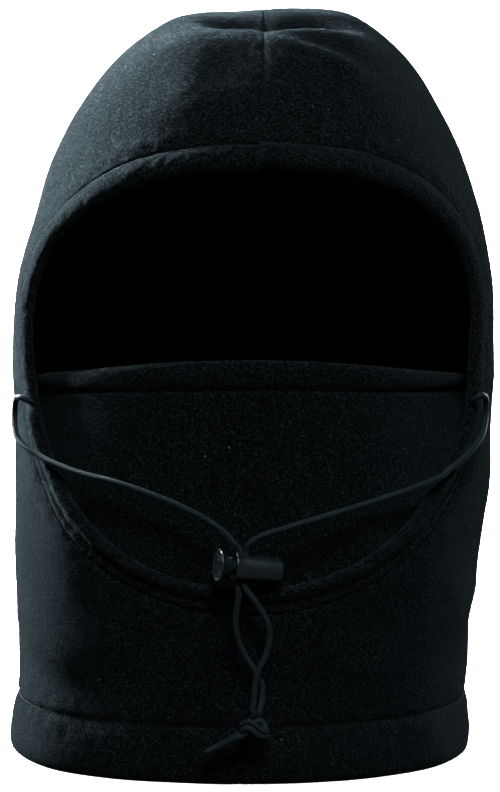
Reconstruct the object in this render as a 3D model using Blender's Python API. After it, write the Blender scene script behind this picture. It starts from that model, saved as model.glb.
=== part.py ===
"""A fleece balaclava: two hood panels, a face opening with an elastic drawcord in its casing, a mask that pulls down
behind the chin rim, a turned neck hem and a barrel cord lock.

Metres, +Z up, -Y is the front and +X is on the right seen from the front. The neck hem stands on z = 0.
"""

import math

import bmesh
import bpy
from mathutils import Matrix, Vector

GAP = 0.0003  # clearance between pieces that touch
FLEECE = 0.0024  # one layer of fleece
DOUBLE = 0.0046  # two layers, sewn together

# The hood's outer surface: horizontal sections, each a rounded oval. Height, half width, front depth, back depth, lean.
SQUARENESS = 2.2
SECTIONS = (
    (0.0000, 0.1142, 0.0900, 0.0900, -0.0062),
    (0.0270, 0.1124, 0.0885, 0.0870, -0.0056),
    (0.0700, 0.1132, 0.0900, 0.0840, -0.0036),
    (0.1150, 0.1160, 0.0918, 0.0850, -0.0014),
    (0.1600, 0.1172, 0.0935, 0.0890, -0.0002),
    (0.2050, 0.1180, 0.0945, 0.0930, 0.0000),
    (0.2450, 0.1130, 0.0945, 0.0943, 0.0010),
    (0.2850, 0.1022, 0.0900, 0.0915, 0.0030),
    (0.3150, 0.0878, 0.0790, 0.0830, 0.0042),
    (0.3380, 0.0700, 0.0645, 0.0690, 0.0050),
    (0.3530, 0.0525, 0.0490, 0.0530, 0.0054),
    (0.3610, 0.0350, 0.0330, 0.0350, 0.0056),
    (0.3640, 0.0000, 0.0000, 0.0000, 0.0056),
)
CROWN = SECTIONS[-1][0]

# The face opening's rim, along the middle of its casing, as a rounded oval seen from the front.
OPENING_MIDDLE = 0.205
OPENING_HALF_WIDTH = 0.1085
BROW_RISE = 0.091
CHIN_DROP = 0.117
BROW_SQUARENESS = 2.5
CHIN_SQUARENESS = 2.25

CASING_HALF_WIDTH = 0.0063
CASING_HALF_THICKNESS = 0.0030
CASING_INSET = 0.0010  # how far its middle lies under the hood's surface
TUNNEL_RADIUS = 0.0019
EXIT_HEIGHT = 0.176  # where the elastic leaves the casing on each side
EXIT_RADIUS = 0.0021

HEM_HEIGHT = 0.0270
HEM_BULGE = 0.0012

MASK_HALF_WIDTH = 0.1090  # of the oval that its plan follows
MASK_DEPTH = 0.0845
MASK_CENTRE = -0.0010
MASK_REACH = 0.1055  # half the panel's width, end to end
MASK_TOP = 0.2020
MASK_TOP_DROP = 0.0130  # from the middle of the top edge to its ends
MASK_HEM = 0.0135
MASK_TUCK = 0.0030  # how far the lower edge goes down behind the middle of the rim

CORD_RADIUS = 0.00140
CORD_STEP = 0.0069
THREAD_RADIUS = 0.0004

# The cord lock lies across the front, its button end turned towards the viewer and a little up.
LOCK_CENTRE = Vector((-0.0036, -0.0995, 0.1063))
LOCK_TURN = math.radians(18)
LOCK_RISE = math.radians(8)
BARREL_RADIUS = 0.0062
BARREL_END_RADIUS = 0.0057
BARREL_LIP_RADIUS = 0.0074
BARREL_MOUTH = 0.0054
BARREL_END = -0.0175
BORE_RADIUS = 0.0040
MOUTH_RADIUS = 0.0054
BORE_END = -0.0162
SHANK_RADIUS = 0.0036
NECK_RADIUS = 0.0042
BUTTON_RADIUS = 0.0077
SLOT_HALF_LENGTH = 0.0051
SLOT_HALF_WIDTH = 0.0019
PLUNGER_TRAVEL = 0.0025  # from where the spring clamps the cords to where the window's far end meets them
SHANK_END = -0.0040
NECK_START = 0.0066
CORD_PLACES = (0.00340, 0.00030)  # where the two cords cross the barrel's axis, from the slot's middle
SPRING_RADIUS = 0.0029
SPRING_WIRE = 0.0003
SPRING_TURNS = 7

# Routes of the elastic's free stretches, from the casing to the lock and from the lock to the knot.
LEFT_RUN = (
    (-0.1056, -0.0469, 0.1765),
    (-0.1056, -0.0493, 0.1770),
    (-0.1060, -0.0520, 0.1777),
    (-0.1078, -0.0543, 0.1789),
    (-0.1104, -0.0538, 0.1800),
    (-0.1125, -0.0508, 0.1794),
    (-0.1136, -0.0474, 0.1760),
    (-0.1140, -0.0464, 0.1706),
    (-0.1138, -0.0484, 0.1650),
    (-0.1124, -0.0520, 0.1604),
    (-0.1081, -0.0564, 0.1566),
    (-0.1017, -0.0608, 0.1532),
    (-0.0954, -0.0650, 0.1505),
    (-0.0829, -0.0722, 0.1469),
    (-0.0640, -0.0820, 0.1435),
    (-0.0461, -0.0897, 0.1385),
    (-0.0340, -0.0939, 0.1342),
    (-0.0230, -0.0976, 0.1294),
    (-0.0142, -0.1000, 0.1239),
    (-0.0092, -0.1010, 0.1186),
)
RIGHT_RUN = (
    (0.1054, -0.0469, 0.1765),
    (0.1054, -0.0493, 0.1770),
    (0.1056, -0.0521, 0.1782),
    (0.1070, -0.0545, 0.1801),
    (0.1090, -0.0545, 0.1812),
    (0.1110, -0.0520, 0.1800),
    (0.1118, -0.0490, 0.1762),
    (0.1116, -0.0478, 0.1712),
    (0.1110, -0.0492, 0.1662),
    (0.1092, -0.0530, 0.1610),
    (0.1050, -0.0578, 0.1562),
    (0.0995, -0.0619, 0.1514),
    (0.0930, -0.0660, 0.1470),
    (0.0882, -0.0690, 0.1437),
    (0.0712, -0.0784, 0.1387),
    (0.0474, -0.0889, 0.1327),
    (0.0253, -0.0964, 0.1273),
    (0.0137, -0.0994, 0.1242),
    (0.0053, -0.1006, 0.1218),
    (-0.0010, -0.1010, 0.1182),
)
LEFT_TAIL = (
    (-0.0066, -0.1004, 0.0930),
    (-0.0076, -0.0992, 0.0850),
    (-0.0078, -0.0984, 0.0777),
    (-0.0066, -0.0976, 0.0710),
    (-0.0034, -0.0968, 0.0637),
    (0.0012, -0.0962, 0.0563),
    (0.0044, -0.0960, 0.0495),
    (0.0044, -0.0970, 0.0430),
    (0.0032, -0.0988, 0.0374),
)
RIGHT_TAIL = (
    (-0.0008, -0.1002, 0.0930),
    (0.0038, -0.1000, 0.0865),
    (0.0070, -0.0998, 0.0800),
    (0.0080, -0.0997, 0.0740),
    (0.0066, -0.0998, 0.0655),
    (0.0030, -0.1000, 0.0572),
    (0.0010, -0.0999, 0.0492),
    (0.0006, -0.0998, 0.0430),
    (-0.0002, -0.0998, 0.0381),
)
KNOT_CENTRE = Vector((0.0004, -0.0998, 0.0305))
KNOT_SIZE = Vector((0.0072, 0.0050, 0.0060))
TAIL_END = (-0.0205, -0.0985, 0.0188)

PANEL_COLUMNS = 15
FLEECE_COLOUR = (0.022, 0.031, 0.036, 1)
CORD_COLOUR = (0.030, 0.039, 0.043, 1)
THREAD_COLOUR = (0.012, 0.017, 0.020, 1)
PLASTIC_COLOUR = (0.040, 0.046, 0.050, 1)
STEEL_COLOUR = (0.60, 0.60, 0.60, 1)


def blend_rows(rows, steps):
    """A smooth run of values through the rows: each stretch takes this many steps."""
    rows = [Vector(row) for row in rows]
    rows = [2 * rows[0] - rows[1]] + rows + [2 * rows[-1] - rows[-2]]
    found = []
    for a, b, c, d in zip(rows, rows[1:], rows[2:], rows[3:]):
        for step in range(steps):
            t = step / steps
            found.append(
                (2 * b + (c - a) * t + (2 * a - 5 * b + 4 * c - d) * t**2 + (3 * b - a - 3 * c + d) * t**3) / 2
            )
    return found + [rows[-2]]


PROFILE = blend_rows(SECTIONS, 12)


def section(z):
    """(half width, front depth, back depth, lean) of the hood at this height."""
    z = min(max(z, 0), CROWN)
    for low, high in zip(PROFILE, PROFILE[1:]):
        if z <= high[0]:
            row = low.lerp(high, (z - low[0]) / max(high[0] - low[0], 1e-9))
            return row[1], row[2], row[3], row[4]
    return 0, 0, 0, SECTIONS[-1][4]


def signed_power(value, power):
    return math.copysign(abs(value) ** power, value)


def hood(angle, z):
    """A point of the hood's outer surface. The angle is 0 at the front seam and grows towards +X."""
    width, front, back, lean = section(z)
    depth = front if math.cos(angle) > 0 else back
    x = lean + width * signed_power(math.sin(angle), 2 / SQUARENESS)
    return Vector((x, -depth * signed_power(math.cos(angle), 2 / SQUARENESS), z))


def hood_normal(angle, z):
    """The outward direction there."""
    if z > CROWN - 0.0006:
        return Vector((0, 0, 1))
    across = hood(angle + 0.02, z) - hood(angle - 0.02, z)
    up = hood(angle, z + 0.0005) - hood(angle, z - 0.0005)
    return across.cross(up).normalized()


def hood_at(angle, z, out):
    """A point this far outside the hood's surface."""
    return hood(angle, z) + out * hood_normal(angle, z)


def angle_at(x, z):
    """The angle of the point on the hood's front half with this x."""
    width, _, _, lean = section(z)
    share = min(abs(x - lean) / width, 1)
    return math.copysign(math.asin(share ** (SQUARENESS / 2)), x - lean)


def rim(turn, side):
    """(x, z) on the middle of the opening's rim. The turn is 0 at the chin and pi at the brow."""
    height, squareness = (CHIN_DROP, CHIN_SQUARENESS) if turn < math.pi / 2 else (BROW_RISE, BROW_SQUARENESS)
    z = OPENING_MIDDLE - height * signed_power(math.cos(turn), 2 / squareness)
    return section(z)[3] + side * OPENING_HALF_WIDTH * abs(math.sin(turn)) ** (2 / squareness), z


def rim_frame(turn, side):
    """The rim's middle point, and the directions out of the fabric, along the rim and away from the opening."""
    x, z = rim(turn, side)
    angle = angle_at(x, z)
    before, after = (rim(max(0, min(math.pi, turn + step)), side) for step in (-0.02, 0.02))
    along = hood(angle_at(*after), after[1]) - hood(angle_at(*before), before[1])
    if turn < 0.001 or turn > math.pi - 0.001:
        along = Vector((side if turn < 1 else -side, 0, 0))
    out = hood_normal(angle, z)
    along = (along - along.dot(out) * out).normalized()
    return hood(angle, z), out, along, side * along.cross(out)


def rim_edge(turn, side, away):
    """(angle, height) of the point on the hood this far outside the rim's middle."""
    point, _, _, outward = rim_frame(turn, side)
    moved = point + away * outward
    return angle_at(moved.x, moved.z), moved.z


def turns(count):
    """Evenly spread stations along the rim, from the chin to the brow."""
    return [math.pi * step / (count - 1) for step in range(count)]


def material(name, colour, roughness, metallic=0.0):
    found = bpy.data.materials.new(name)
    found.use_nodes = True
    shader = found.node_tree.nodes["Principled BSDF"]
    shader.inputs["Base Color"].default_value = colour
    shader.inputs["Roughness"].default_value = roughness
    shader.inputs["Metallic"].default_value = metallic
    return found


def add_object(name, data, look):
    data.materials.append(look)
    made = bpy.data.objects.new(name, data)
    bpy.context.scene.collection.objects.link(made)
    return made


def mesh_object(name, bm, look):
    """A named object from the bmesh, merged, facing out and shaded smooth."""
    bmesh.ops.remove_doubles(bm, verts=bm.verts, dist=1e-5)
    bmesh.ops.recalc_face_normals(bm, faces=bm.faces)
    data = bpy.data.meshes.new(name)
    bm.to_mesh(data)
    bm.free()
    data.shade_smooth()
    data.set_sharp_from_angle(angle=math.radians(40))
    return add_object(name, data, look)


def skin(bm, rings, closed_rings=True, closed_run=False, caps=True):
    """Joins each ring of points to the next with quads, and closes the ends."""
    loops = [[bm.verts.new(point) for point in ring] for ring in rings]
    count = len(loops[0])
    following = loops[1:] + (loops[:1] if closed_run else [])
    for near, far in zip(loops, following):
        for i in range(count if closed_rings else count - 1):
            j = (i + 1) % count
            bm.faces.new((near[i], near[j], far[j], far[i]))
    if caps and not closed_run:
        bm.faces.new(list(reversed(loops[0])))
        bm.faces.new(loops[-1])


def slab(name, outer, inner, look):
    """A sheet of fabric: two grids of points, joined round their edges."""
    bm = bmesh.new()
    grids = [[[bm.verts.new(point) for point in row] for row in grid] for grid in (outer, inner)]
    for grid in grids:
        for low, high in zip(grid, grid[1:]):
            for a, b, c, d in zip(low, low[1:], high[1:], high):
                bm.faces.new((a, b, c, d))
    edges = [
        [grid[0] for grid in grids],
        [grid[-1] for grid in grids],
        [[row[0] for row in grid] for grid in grids],
        [[row[-1] for row in grid] for grid in grids],
    ]
    for near, far in edges:
        for a, b, c, d in zip(near, near[1:], far[1:], far):
            bm.faces.new((a, b, c, d))
    return mesh_object(name, bm, look)


def apart(point, side):
    """Moves a point of one half away from the centre seam, so that the halves don't touch."""
    return point + Vector((side * GAP / 2, 0, 0))


def seam_shares(points):
    """Each point's share of the way along the line."""
    lengths = [0.0]
    for a, b in zip(points, points[1:]):
        lengths.append(lengths[-1] + (b - a).length)
    return [length / lengths[-1] for length in lengths]


def heights_on_back(shares):
    """Heights that lie at these shares of the back seam, from the hem to the crown."""
    samples = [HEM_HEIGHT + GAP + (CROWN - HEM_HEIGHT - GAP) * i / 240 for i in range(241)]
    along = seam_shares([hood(math.pi, z) for z in samples])
    found = []
    for share in shares:
        i = min(sum(value < share for value in along), 240)
        low = max(i - 1, 0)
        t = (share - along[low]) / max(along[i] - along[low], 1e-9)
        found.append(samples[low] + (samples[i] - samples[low]) * min(max(t, 0), 1))
    return found


def front_boundary(side):
    """(angle, height) up the neck seam, round the casing's outer edge and up the crown seam."""
    edge = [rim_edge(turn, side, CASING_HALF_WIDTH + GAP) for turn in turns(17)]
    chin, brow = edge[0][1], edge[-1][1]
    low = HEM_HEIGHT + GAP
    neck = [(0.0, low + (chin - low) * i / 3) for i in range(3)]
    crown = [(0.0, brow + (CROWN - brow) * math.sin(math.pi / 2 * i / 7)) for i in range(1, 8)]
    return neck + edge + crown


def hood_panel(name, side, look):
    """Half of the hood, from the hem to the crown and from the opening round to the back seam."""
    front = front_boundary(side)
    back = heights_on_back(seam_shares([hood(angle, z) for angle, z in front]))
    grids = []
    for depth in (0, FLEECE):
        grid = []
        for (angle, z), z_back in zip(front, back):
            row = []
            for i in range(PANEL_COLUMNS + 1):
                share = i / PANEL_COLUMNS
                at = angle + (side * math.pi - angle) * share
                row.append(apart(hood_at(at, z + (z_back - z) * share, -depth), side))
            grid.append(row)
        grids.append(grid)
    return slab(name, *grids, look)


def casing_ring(turn, side, half_width, half_thickness, count):
    """An oval across the rim."""
    point, out, _, away = rim_frame(turn, side)
    middle = point - CASING_INSET * out
    ring = []
    for i in range(count):
        a = 2 * math.pi * i / count
        ring.append(apart(middle + half_thickness * math.cos(a) * out + half_width * math.sin(a) * away, side))
    return ring


def exit_turn():
    """The station on the rim at the height where the elastic comes out."""
    drop = (OPENING_MIDDLE - EXIT_HEIGHT) / CHIN_DROP
    return math.acos(drop ** (CHIN_SQUARENESS / 2))


def exit_direction(side):
    """The way the elastic comes out: towards the opening and the front."""
    _, out, _, away = rim_frame(exit_turn(), side)
    return (0.5 * out - 0.87 * away).normalized()


def face_casing(name, side, look):
    """The turned edge of the opening: a flat tube with a tunnel for the elastic and a hole where it comes out."""
    bm = bmesh.new()
    stations = turns(31)
    outer = [casing_ring(turn, side, CASING_HALF_WIDTH, CASING_HALF_THICKNESS, 10) for turn in stations]
    skin(bm, outer)
    made = mesh_object(name, bm, look)
    cutter = bmesh.new()
    inner = [casing_ring(turn, side, TUNNEL_RADIUS, TUNNEL_RADIUS, 6) for turn in stations]
    for ring, toward in ((inner[0], -side), (inner[-1], -side)):
        for i, point in enumerate(ring):
            ring[i] = point + Vector((toward * 0.001, 0, 0))
    skin(cutter, inner)
    cut(made, mesh_object(name + "_tunnel", cutter, look))
    point, out, _, _ = rim_frame(exit_turn(), side)
    start = apart(point - CASING_INSET * out, side)
    cut(made, rod(name + "_exit", start, start + 0.012 * exit_direction(side), EXIT_RADIUS, look))
    return made


def rod(name, start, end, radius, look, sides=12):
    """A round bar between two points."""
    bm = bmesh.new()
    length = (end - start).length
    turn = (end - start).to_track_quat("Z", "Y").to_matrix().to_4x4()
    place = Matrix.Translation((start + end) / 2) @ turn
    bmesh.ops.create_cone(
        bm, cap_ends=True, segments=sides, radius1=radius, radius2=radius, depth=length, matrix=place
    )
    return mesh_object(name, bm, look)


def cut(target, cutter):
    """Takes the cutter's shape out of the target."""
    modifier = target.modifiers.new(cutter.name, "BOOLEAN")
    modifier.operation = "DIFFERENCE"
    modifier.solver = "EXACT"
    modifier.object = cutter
    cutter.hide_render = True
    cutter.display_type = "WIRE"


def neck_hem(name, side, look):
    """Half of the neck edge, turned up and sewn: a flat foot below, a soft bulge outside."""
    profile = (
        (0.0000, 0.0000),
        (0.0009, 0.0040),
        (HEM_BULGE, 0.0120),
        (0.0008, 0.0210),
        (0.0000, HEM_HEIGHT),
        (-DOUBLE, HEM_HEIGHT),
        (-DOUBLE - 0.0006, 0.0130),
        (-DOUBLE, 0.0000),
    )
    bm = bmesh.new()
    rings = []
    for i in range(23):
        angle = side * math.pi * i / 22
        flat = hood_normal(angle, 0.013)
        flat = Vector((flat.x, flat.y, 0)).normalized()
        rings.append([apart(hood(angle, z) + out * flat, side) for out, z in profile])
    skin(bm, rings)
    return mesh_object(name, bm, look)


def mask_point(x, z, out):
    """A point this far in front of the mask's face, whose plan is the same at every height."""
    share = abs(x) / MASK_HALF_WIDTH
    y = -MASK_DEPTH * (1 - share**SQUARENESS) ** (1 / SQUARENESS)
    slope = Vector((signed_power(x, SQUARENESS - 1) / MASK_HALF_WIDTH**SQUARENESS, 0, 0))
    slope.y = -(abs(y) ** (SQUARENESS - 1)) / MASK_DEPTH**SQUARENESS
    return Vector((x + MASK_CENTRE, y, z)) + out * slope.normalized()


def mask_top(x):
    return MASK_TOP - MASK_TOP_DROP * (x / MASK_REACH) ** 2


def mask_low(x):
    """The mask's lower edge, behind the rim."""
    share = min(abs(x) / OPENING_HALF_WIDTH, 1)
    return OPENING_MIDDLE - CHIN_DROP * (1 - share**CHIN_SQUARENESS) ** (1 / CHIN_SQUARENESS) - MASK_TUCK


def mask_columns(count):
    """Places across the mask, closer together towards its ends."""
    return [MASK_REACH * math.sin(math.pi * (i / (count - 1) - 0.5)) for i in range(count)]


def mask_panel(look):
    grids = []
    for out in (0, -FLEECE):
        grid = []
        for row in range(7):
            line = []
            for x in mask_columns(23):
                low, high = mask_low(x), mask_top(x) - MASK_HEM - GAP
                line.append(mask_point(x, low + (high - low) * row / 6, out))
            grid.append(line)
        grids.append(grid)
    return slab("mask_panel", *grids, look)


def mask_top_hem(look):
    """The mask's upper edge, folded back and sewn."""
    profile = ((0.0004, -1.0), (0.0011, -0.5), (0.0006, -0.1), (-0.0012, 0.0), (-0.0030, -0.1), (-0.0036, -0.5))
    profile += ((-0.0032, -1.0),)
    bm = bmesh.new()
    rings = []
    for x in mask_columns(23):
        rings.append([mask_point(x, mask_top(x) + drop * MASK_HEM, out) for out, drop in profile])
    skin(bm, rings)
    return mesh_object("mask_top_hem", bm, look)


def tube(name, points, radius, look, resolution=2, closed=False):
    """A round cord along the points, with filled ends."""
    curve = bpy.data.curves.new(name, "CURVE")
    curve.dimensions = "3D"
    curve.bevel_depth = radius
    curve.bevel_resolution = resolution
    curve.use_fill_caps = True
    spline = curve.splines.new("POLY")
    spline.points.add(len(points) - 1)
    spline.use_cyclic_u = closed
    for target, point in zip(spline.points, points):
        target.co = (*point, 1)
    return add_object(name, curve, look)


def cord_points(route):
    """Points on a smooth curve through the route, about a step apart where it runs straight."""
    route = [Vector(point) for point in route]
    ends = [2 * route[0] - route[1]] + route + [2 * route[-1] - route[-2]]
    found = []
    for four in zip(ends, ends[1:], ends[2:], ends[3:]):
        steps = max(round((four[2] - four[1]).length / CORD_STEP), 1)
        found += blend_rows(four, steps)[steps : 2 * steps]
    return found + [route[-1]]


def thread(name, points, look, closed=False):
    return tube(name, points, THREAD_RADIUS, look, resolution=0, closed=closed)


def seam_threads(look):
    """The stitches that close the centre seam, just inside the fabric."""
    deep = FLEECE + GAP + 2 * THREAD_RADIUS
    brow = rim_edge(math.pi, 1, CASING_HALF_WIDTH)[1] + 0.004
    chin = rim_edge(0, 1, CASING_HALF_WIDTH)[1] - 0.004
    low = HEM_HEIGHT + 0.004
    over = [hood_at(0, brow + (CROWN - brow) * math.sin(math.pi / 2 * i / 12), -deep) for i in range(12)]
    down = [hood_at(math.pi, low + (CROWN - low) * math.cos(math.pi / 2 * i / 22), -deep) for i in range(1, 23)]
    thread("crown_seam_thread", over + down, look)
    thread("neck_seam_thread", [hood_at(0, low + (chin - low) * i / 5, -deep) for i in range(6)], look)


def casing_stitch(name, side, look):
    """The row of stitches beside the casing, on the hood's face."""
    points = []
    for i in range(1, 32):
        angle, z = rim_edge(math.pi * i / 32, side, CASING_HALF_WIDTH + 0.0028)
        points.append(apart(hood_at(angle, z, 0.0010), side))
    thread(name, points, look)


def hem_stitch(look):
    points = []
    for i in range(48):
        angle = 2 * math.pi * i / 48
        flat = hood_normal(angle, 0.013)
        flat = Vector((flat.x, flat.y, 0)).normalized()
        points.append(hood(angle, HEM_HEIGHT - 0.0015) + 0.0014 * flat)
    thread("hem_stitch", points, look, closed=True)


def mask_hem_stitch(look):
    points = [mask_point(x, mask_top(x) - MASK_HEM + 0.0012, 0.0016) for x in mask_columns(26)[1:-1]]
    thread("mask_hem_stitch", points, look)


def elastic_in_casing(look):
    """The hidden stretch of elastic, from one exit up over the brow to the other."""
    start = exit_turn()
    points = []
    for side in (-1, 1):
        half = []
        for i in range(20):
            point, out, _, _ = rim_frame(start + (math.pi - start) * i / 20, side)
            half.append(apart(point - CASING_INSET * out, side))
        points += half if side < 0 else half[::-1]
    middle = rim_frame(math.pi, 1)
    points.insert(20, middle[0] - CASING_INSET * middle[1])
    tube("elastic_in_casing", points, CORD_RADIUS, look, resolution=1)


def lock_axes():
    """Unit directions: along the barrel to the button, along the cord slot upwards, and across both."""
    flat = math.cos(LOCK_RISE)
    along = Vector((-flat * math.cos(LOCK_TURN), -flat * math.sin(LOCK_TURN), math.sin(LOCK_RISE)))
    up = (Vector((0, 0, 1)) - along.z * along).normalized()
    return along, up, along.cross(up)


def in_lock(along, up=0.0, across=0.0):
    a, u, c = lock_axes()
    return LOCK_CENTRE + along * a + up * u + across * c


def elastic(look):
    """The free stretches of the elastic on each side, which go straight through the lock to the knot."""
    meet = 0.0076
    places = dict(zip(("left", "right"), CORD_PLACES))
    routes = {"left": (LEFT_RUN, LEFT_TAIL), "right": (RIGHT_RUN, RIGHT_TAIL)}
    for side, (run, tail) in routes.items():
        place = places[side]
        down = [in_lock(place, up) for up in (meet, meet / 2, GAP / 2)]
        on = [in_lock(place, up) for up in (-GAP / 2, -meet / 2, -meet)]
        tube(f"elastic_{side}", cord_points([*run, *down]), CORD_RADIUS, look)
        tube(f"elastic_{side}_tail", cord_points([*on, *tail]), CORD_RADIUS, look)


def elastic_knot(look):
    """The two strands tied together in one overhand knot: a ball with the strands' wraps round it."""
    bm = bmesh.new()
    rows, columns = 12, 20
    rings = []
    for row in range(1, rows):
        down = math.pi * row / rows
        ring = []
        for column in range(columns):
            turn = 2 * math.pi * column / columns
            ridge = 1 + 0.10 * math.cos(2 * turn + 5 * down)
            unit = Vector((math.sin(down) * math.cos(turn), math.sin(down) * math.sin(turn), math.cos(down)))
            ring.append(KNOT_CENTRE + Vector([u * s * ridge for u, s in zip(unit, KNOT_SIZE)]))
        rings.append(ring)
    skin(bm, rings)
    mesh_object("elastic_knot", bm, look)


def elastic_ends(look):
    """The two cut ends, side by side below the knot."""
    for name, lift in (("elastic_end_left", 0.0014), ("elastic_end_right", -0.0014)):
        route = (
            (KNOT_CENTRE.x - 0.0084 - 0.6 * lift, KNOT_CENTRE.y - 0.0006, KNOT_CENTRE.z - 0.0034 + lift),
            (-0.0140 - 0.6 * lift, -0.1000, 0.0229 + lift),
            (TAIL_END[0] - lift, TAIL_END[1], TAIL_END[2] + lift),
        )
        tube(name, cord_points(route), CORD_RADIUS, look)


def turned(name, profile, look, steps=28):
    """A closed profile of (distance along the barrel, radius) points turned round the barrel's axis."""
    bm = bmesh.new()
    _, up, across = lock_axes()
    rings = []
    for step in range(steps):
        a = 2 * math.pi * step / steps
        out = math.cos(a) * up + math.sin(a) * across
        rings.append([in_lock(along) + radius * out for along, radius in profile])
    skin(bm, rings, closed_rings=False, closed_run=True)
    return mesh_object(name, bm, look)


def slot_cutter(name, middle, half_length, half_width, look):
    """A slot with round ends, along the cords' way through the lock."""
    bm = bmesh.new()
    rings = []
    for up in (-0.012, 0.012):
        ring = []
        for end in (1, -1):
            for step in range(7):
                a = math.pi * (step / 6 - 0.5)
                along = end * (half_length - half_width + half_width * math.cos(a))
                ring.append(in_lock(middle + along, up, end * half_width * math.sin(a)))
        rings.append(ring)
    skin(bm, rings)
    return mesh_object(name, bm, look)


def cord_lock(plastic, steel):
    """The barrel, the sprung plunger with its button, and the spring behind it."""
    barrel = turned(
        "cord_lock_barrel",
        (
            (BARREL_END, 0.0),
            (BARREL_END, BARREL_END_RADIUS - 0.0008),
            (BARREL_END + 0.0008, BARREL_END_RADIUS),
            (0.0010, BARREL_RADIUS),
            (0.0030, BARREL_RADIUS + 0.0002),
            (0.0044, BARREL_RADIUS + 0.0006),
            (BARREL_MOUTH, BARREL_LIP_RADIUS),
            (BARREL_MOUTH + 0.0006, BARREL_LIP_RADIUS - 0.0002),
            (BARREL_MOUTH + 0.0004, MOUTH_RADIUS + 0.0004),
            (0.0034, MOUTH_RADIUS),
            (0.0034, BORE_RADIUS),
            (BORE_END, BORE_RADIUS),
            (BORE_END, 0.0),
        ),
        plastic,
    )
    cut(barrel, slot_cutter("barrel_slot", 0, SLOT_HALF_LENGTH, SLOT_HALF_WIDTH, plastic))
    plunger = turned(
        "cord_lock_plunger",
        (
            (SHANK_END, 0.0),
            (SHANK_END, SHANK_RADIUS),
            (NECK_START, SHANK_RADIUS),
            (NECK_START, NECK_RADIUS),
            (0.0088, NECK_RADIUS + 0.0005),
            (0.0111, NECK_RADIUS + 0.0016),
            (0.0125, BUTTON_RADIUS - 0.0006),
            (0.0131, BUTTON_RADIUS),
            (0.0135, BUTTON_RADIUS - 0.0003),
            (0.0130, BUTTON_RADIUS - 0.0021),
            (0.0126, 0.0),
        ),
        plastic,
    )
    window_low = CORD_PLACES[1] - CORD_RADIUS - GAP
    window_high = CORD_PLACES[0] + CORD_RADIUS + PLUNGER_TRAVEL + GAP
    middle, half = (window_low + window_high) / 2, (window_high - window_low) / 2
    cut(plunger, slot_cutter("plunger_window", middle, half, SLOT_HALF_WIDTH - 0.0002, plastic))
    coil = []
    start, end = BORE_END + SPRING_WIRE + GAP, SHANK_END - SPRING_WIRE - GAP
    steps = SPRING_TURNS * 9
    for step in range(steps + 1):
        a = 2 * math.pi * step / 9
        share = step / steps
        coil.append(
            in_lock(start + (end - start) * share, SPRING_RADIUS * math.cos(a), SPRING_RADIUS * math.sin(a))
        )
    tube("cord_lock_spring", coil, SPRING_WIRE, steel, resolution=0)


def main():
    for old in list(bpy.data.objects):
        bpy.data.objects.remove(old)
    fleece = material("fleece", FLEECE_COLOUR, 0.95)
    cord = material("elastic_cord", CORD_COLOUR, 0.75)
    stitches = material("sewing_thread", THREAD_COLOUR, 0.8)
    plastic = material("lock_plastic", PLASTIC_COLOUR, 0.42)
    steel = material("spring_steel", STEEL_COLOUR, 0.3, 1.0)
    for side, word in ((-1, "left"), (1, "right")):
        hood_panel(f"hood_panel_{word}", side, fleece)
        face_casing(f"face_casing_{word}", side, fleece)
        neck_hem(f"neck_hem_{word}", side, fleece)
        casing_stitch(f"casing_stitch_{word}", side, stitches)
    mask_panel(fleece)
    mask_top_hem(fleece)
    seam_threads(stitches)
    hem_stitch(stitches)
    mask_hem_stitch(stitches)
    elastic_in_casing(cord)
    elastic(cord)
    elastic_knot(cord)
    elastic_ends(cord)
    cord_lock(plastic, steel)


main()
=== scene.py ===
"""The looks of a fleece balaclava with an elastic drawcord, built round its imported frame.

Metres, +Z up, -Y is the front, +X is on the right seen from the front.
"""

import math

import bmesh
import bpy
import numpy as np
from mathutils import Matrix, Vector
from mathutils.kdtree import KDTree


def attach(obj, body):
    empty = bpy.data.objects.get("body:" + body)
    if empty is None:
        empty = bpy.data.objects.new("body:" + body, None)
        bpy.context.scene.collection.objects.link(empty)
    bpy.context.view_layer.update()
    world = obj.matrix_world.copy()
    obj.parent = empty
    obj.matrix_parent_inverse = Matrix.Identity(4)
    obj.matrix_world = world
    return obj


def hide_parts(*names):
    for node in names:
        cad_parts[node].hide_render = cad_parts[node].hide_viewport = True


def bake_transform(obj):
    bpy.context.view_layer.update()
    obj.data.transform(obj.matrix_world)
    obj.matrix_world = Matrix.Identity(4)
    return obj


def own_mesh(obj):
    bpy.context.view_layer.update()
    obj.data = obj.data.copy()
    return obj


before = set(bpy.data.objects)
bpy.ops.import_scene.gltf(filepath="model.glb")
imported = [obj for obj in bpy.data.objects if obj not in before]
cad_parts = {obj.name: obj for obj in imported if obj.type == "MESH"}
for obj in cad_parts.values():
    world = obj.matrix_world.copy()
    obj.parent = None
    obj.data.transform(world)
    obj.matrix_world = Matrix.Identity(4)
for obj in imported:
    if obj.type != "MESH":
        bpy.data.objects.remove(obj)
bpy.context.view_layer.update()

# ---------------------------------------------------------------- the hood's form, as the frame has it

FLEECE = 0.0024  # one layer of fleece
SEAM_LAP = 0.00015  # how far each half goes past the centre seam
SQUARENESS = 2.2
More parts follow.
